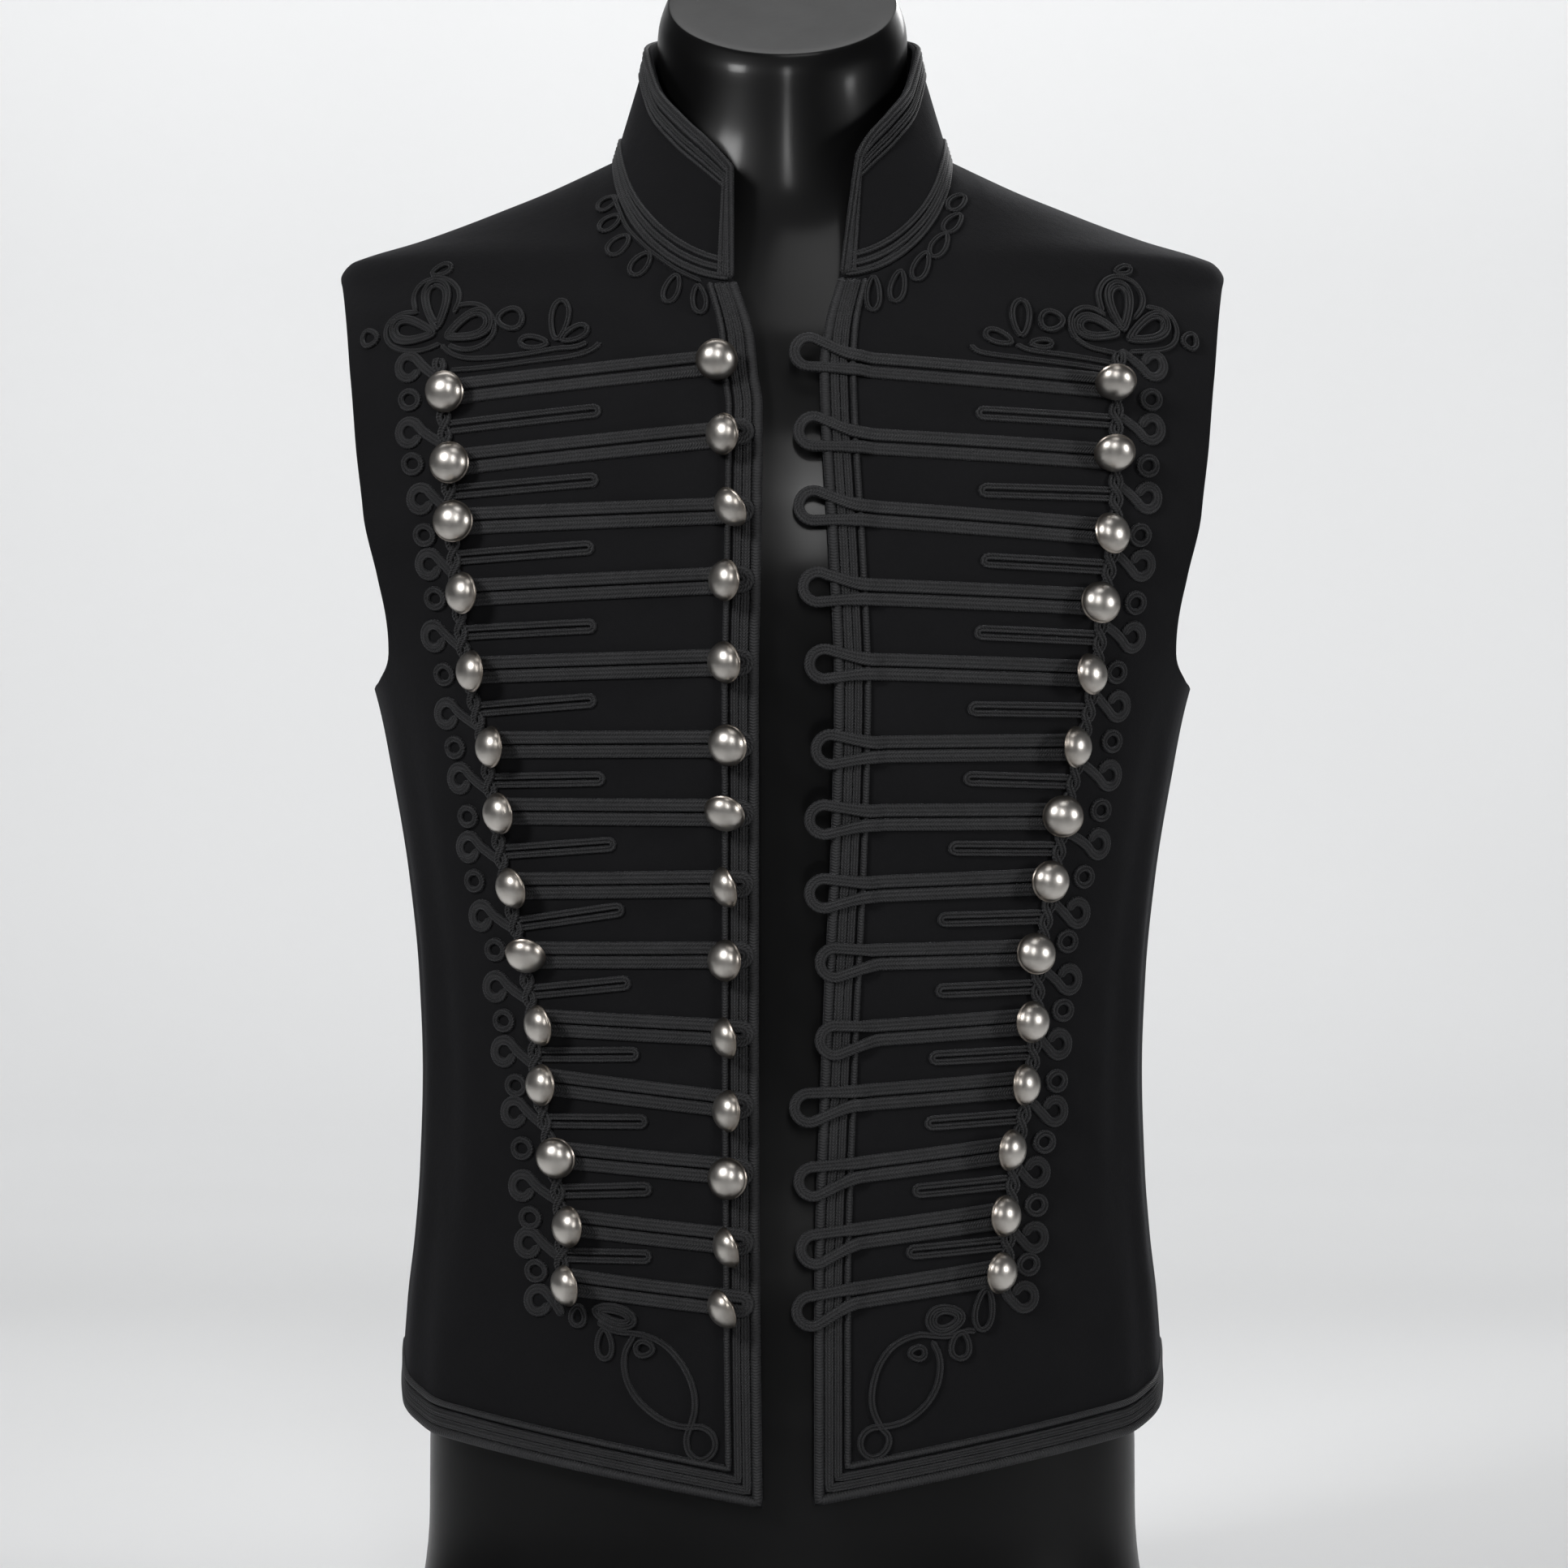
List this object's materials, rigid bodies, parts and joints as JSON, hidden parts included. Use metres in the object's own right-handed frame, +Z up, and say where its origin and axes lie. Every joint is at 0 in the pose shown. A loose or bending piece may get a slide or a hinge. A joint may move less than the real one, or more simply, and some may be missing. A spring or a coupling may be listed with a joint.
{
  "type": "waistcoat on dress form",
  "caption": "Sleeveless stand-collar waistcoat of black wool with corded braid frogging and domed metal buttons, worn open on a limbless dress form.",
  "frame": {"origin": "middle of the form's flat base, under the middle of the whole", "axes": "+Z up along the body, the wearer faces -Y, the wearer's right is at -X"},
  "size_m": [0.434, 0.2704, 0.8558],
  "materials": {
    "form": "black, semi-gloss",
    "cloth": "black felted wool, matt",
    "braid": "black mohair braid and cord, ribbed, faint sheen",
    "button": "satin white metal, slightly tarnished"
  },
  "bodies": {
    "root": {"form": "form", "back": "cloth", "front_right": "cloth", "front_left": "cloth", "collar": "cloth", "collar_braid": "braid", "hem_braid_back": "braid", "edge_braid_right": "braid", "frogging_right": "braid", "shoulder_knot_right": "braid", "neck_scroll_right": "braid", "corner_scroll_right": "braid", "edge_braid_left": "braid", "frogging_left": "braid", "shoulder_knot_left": "braid", "neck_scroll_left": "braid", "corner_scroll_left": "braid", "button_right_outer_01": "button", "button_right_inner_01": "button", "button_left_outer_01": "button", "button_right_outer_02": "button", "button_right_inner_02": "button", "button_left_outer_02": "button", "button_right_outer_03": "button", "button_right_inner_03": "button", "button_left_outer_03": "button", "button_right_outer_04": "button", "button_right_inner_04": "button", "button_left_outer_04": "button", "button_right_outer_05": "button", "button_right_inner_05": "button", "button_left_outer_05": "button", "button_right_outer_06": "button", "button_right_inner_06": "button", "button_left_outer_06": "button", "button_right_outer_07": "button", "button_right_inner_07": "button", "button_left_outer_07": "button", "button_right_outer_08": "button", "button_right_inner_08": "button", "button_left_outer_08": "button", "button_right_outer_09": "button", "button_right_inner_09": "button", "button_left_outer_09": "button", "button_right_outer_10": "button", "button_right_inner_10": "button", "button_left_outer_10": "button", "button_right_outer_11": "button", "button_right_inner_11": "button", "button_left_outer_11": "button", "button_right_outer_12": "button", "button_right_inner_12": "button", "button_left_outer_12": "button", "button_right_outer_13": "button", "button_right_inner_13": "button", "button_left_outer_13": "button", "button_right_outer_14": "button", "button_right_inner_14": "button", "button_left_outer_14": "button"}
  },
  "joints": []
}
